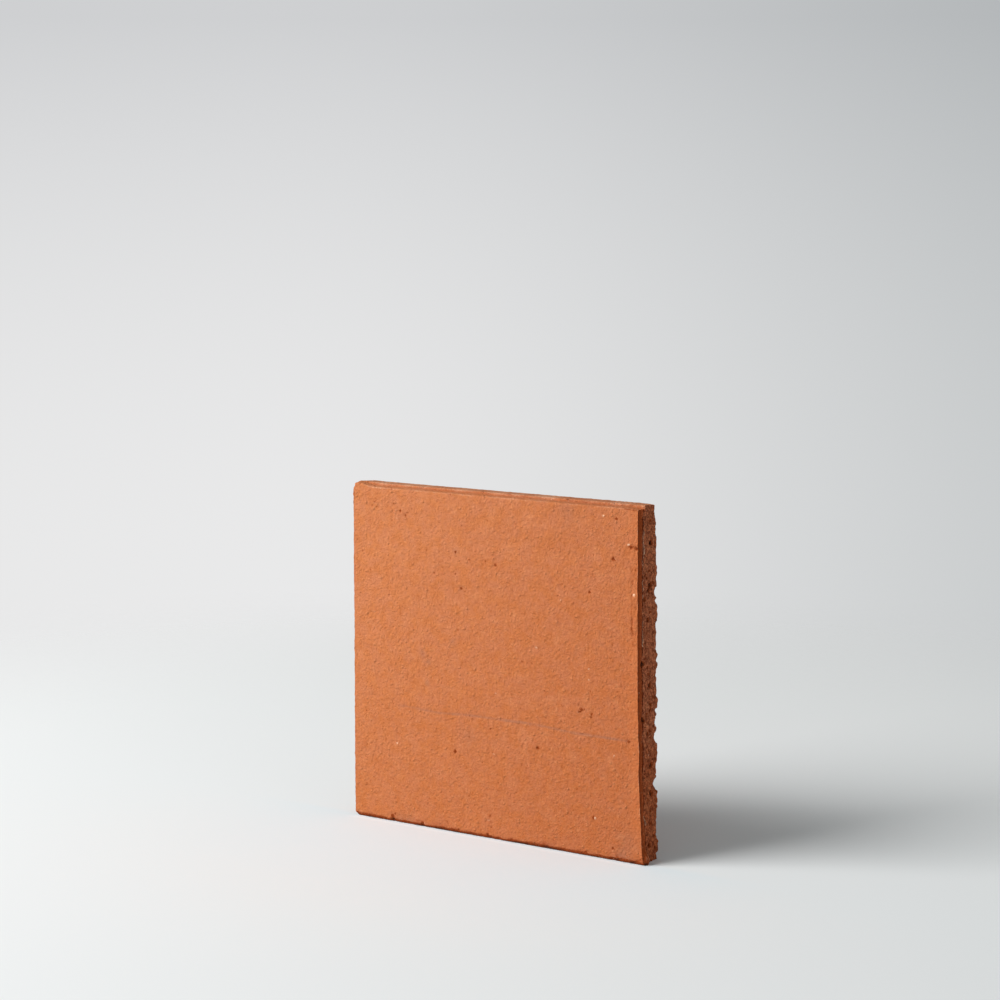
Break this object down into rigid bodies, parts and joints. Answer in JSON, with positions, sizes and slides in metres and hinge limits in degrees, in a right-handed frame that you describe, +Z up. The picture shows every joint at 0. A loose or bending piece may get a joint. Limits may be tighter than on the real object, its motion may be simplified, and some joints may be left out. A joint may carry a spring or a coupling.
{
  "type": "quarry tile",
  "caption": "Square unglazed clay floor tile standing on edge, with a stepped top edge, rough cut ends and keying ribs along its back.",
  "frame": {"origin": "under the middle of the tile's box, on the floor it stands on", "axes": "+X along the drawn length, towards the rough cut end with the flared corner; +Y from the wearing face to the ribbed back; +Z up the tile, towards its stepped edge"},
  "size_m": [0.2038, 0.02, 0.2],
  "materials": {
    "fired_clay": "matt unglazed red-orange fired clay with an orange-peel skin, dark and pale specks, and coarse cut ends"
  },
  "bodies": {
    "root": {"tile": "fired_clay"}
  },
  "joints": []
}
